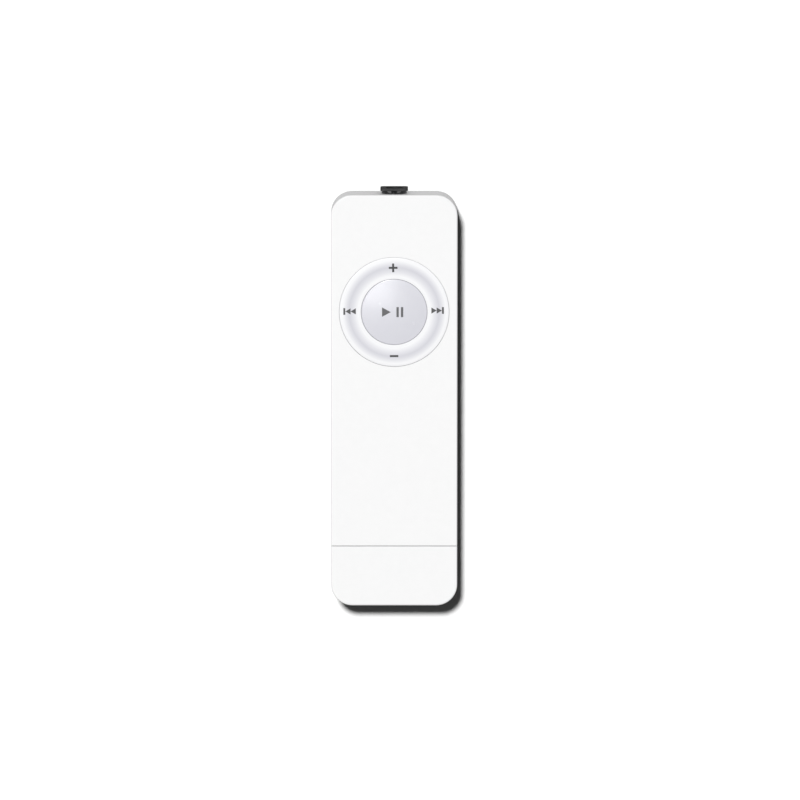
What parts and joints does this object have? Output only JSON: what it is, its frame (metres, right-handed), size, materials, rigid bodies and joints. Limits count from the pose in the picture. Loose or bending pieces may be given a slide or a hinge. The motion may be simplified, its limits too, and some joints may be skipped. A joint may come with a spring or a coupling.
{
  "type": "digital audio player",
  "caption": "Slim pocket flash audio player with a round rocking control ring, a centre play button, a headphone jack at one end and a pull-off cap over a USB plug at the other.",
  "frame": {"origin": "on the surface that the player lies on, under the middle of its overall box, jack collar included", "axes": "+Y along the player's length towards the headphone jack, -Y towards the USB cap, +Z out of the face with the control pad, +X to the right of the pad"},
  "size_m": [0.025, 0.083, 0.0085],
  "materials": {
    "casing_white": "satin white polycarbonate",
    "ring_white": "glossy milky white",
    "button_lilac": "glossy lilac grey",
    "liner_grey": "matt",
    "collar_black": "glossy black",
    "dark_plastic": "matt black",
    "clear_plastic": "clear, slightly green",
    "strip_green": "satin",
    "rubber_grey": "matt",
    "circuit_board": "solder mask over copper",
    "chip_black": "moulded",
    "ceramic_tan": "fired ceramic",
    "ferrite": "rough",
    "steel": "nickel plated",
    "gold": "gold plated",
    "battery_pouch": "laminated foil",
    "wire_red": "insulated wire",
    "wire_black": "insulated wire"
  },
  "bodies": {
    "housing": {"front_shell": "casing_white", "back_shell": "casing_white", "end_bezel": "casing_white", "control_board": "circuit_board", "dome_play": "steel", "dome_plus": "steel", "dome_minus": "steel", "dome_previous": "steel", "dome_next": "steel", "pad_screw_1": "steel", "pad_screw_2": "steel", "pad_screw_3": "steel", "pad_screw_4": "steel", "board_connector": "dark_plastic", "jack_collar": "collar_black", "jack_body": "dark_plastic", "jack_tip_contact": "gold", "jack_ring_contact": "gold", "jack_sleeve_contact": "gold", "main_board": "circuit_board", "board_screw_1": "steel", "board_screw_2": "steel", "board_screw_3": "steel", "board_screw_4": "steel", "flash_chip": "chip_black", "decoder_chip": "chip_black", "regulator_chip": "chip_black", "power_inductor": "ferrite", "clock_crystal": "steel", "capacitor_1": "ceramic_tan", "capacitor_2": "ceramic_tan", "capacitor_3": "ceramic_tan", "battery_led": "clear_plastic", "battery_cell": "battery_pouch", "battery_frame": "liner_grey", "battery_pad": "rubber_grey", "battery_lead_plus": "wire_red", "battery_lead_minus": "wire_black", "slide_switch_body": "dark_plastic", "switch_strip": "strip_green", "battery_switch": "dark_plastic", "battery_light_pipe": "clear_plastic", "usb_shell": "steel", "usb_tongue": "casing_white", "usb_contact_1": "gold", "usb_contact_2": "gold", "usb_contact_3": "gold", "usb_contact_4": "gold"},
    "cap": {"usb_cap": "casing_white", "cap_liner": "liner_grey"},
    "pad_rocker": {"pad_membrane": "rubber_grey"},
    "ring": {"control_ring": "ring_white"},
    "play": {"play_button": "button_lilac"},
    "power_knob": {"switch_knob": "casing_white"},
    "battery_check": {"battery_button": "liner_grey"}
  },
  "joints": [
    {"name": "cap_pull", "type": "slide", "parent": "housing", "child": "cap", "axis": [0, -1, 0], "range_m": [0, 0.02]},
    {"name": "track_rock", "type": "hinge", "parent": "housing", "child": "pad_rocker", "pos_m": [0, 0.01723, 0.00645], "axis": [0, 1, 0], "range_deg": [-1.2, 1.2], "stiffness_Nm_per_rad": 0.6},
    {"name": "volume_rock", "type": "hinge", "parent": "pad_rocker", "child": "ring", "pos_m": [0, 0.01723, 0.0066], "axis": [1, 0, 0], "range_deg": [-1.2, 1.2], "stiffness_Nm_per_rad": 0.6},
    {"name": "play_press", "type": "slide", "parent": "housing", "child": "play", "axis": [0, 0, -1], "range_m": [0, 0.00025], "stiffness_N_per_m": 6000},
    {"name": "power_slide", "type": "slide", "parent": "housing", "child": "power_knob", "axis": [0, 1, 0], "range_m": [0, 0.006]},
    {"name": "battery_press", "type": "slide", "parent": "housing", "child": "battery_check", "axis": [0, 0, 1], "range_m": [0, 0.00025], "stiffness_N_per_m": 5000}
  ]
}
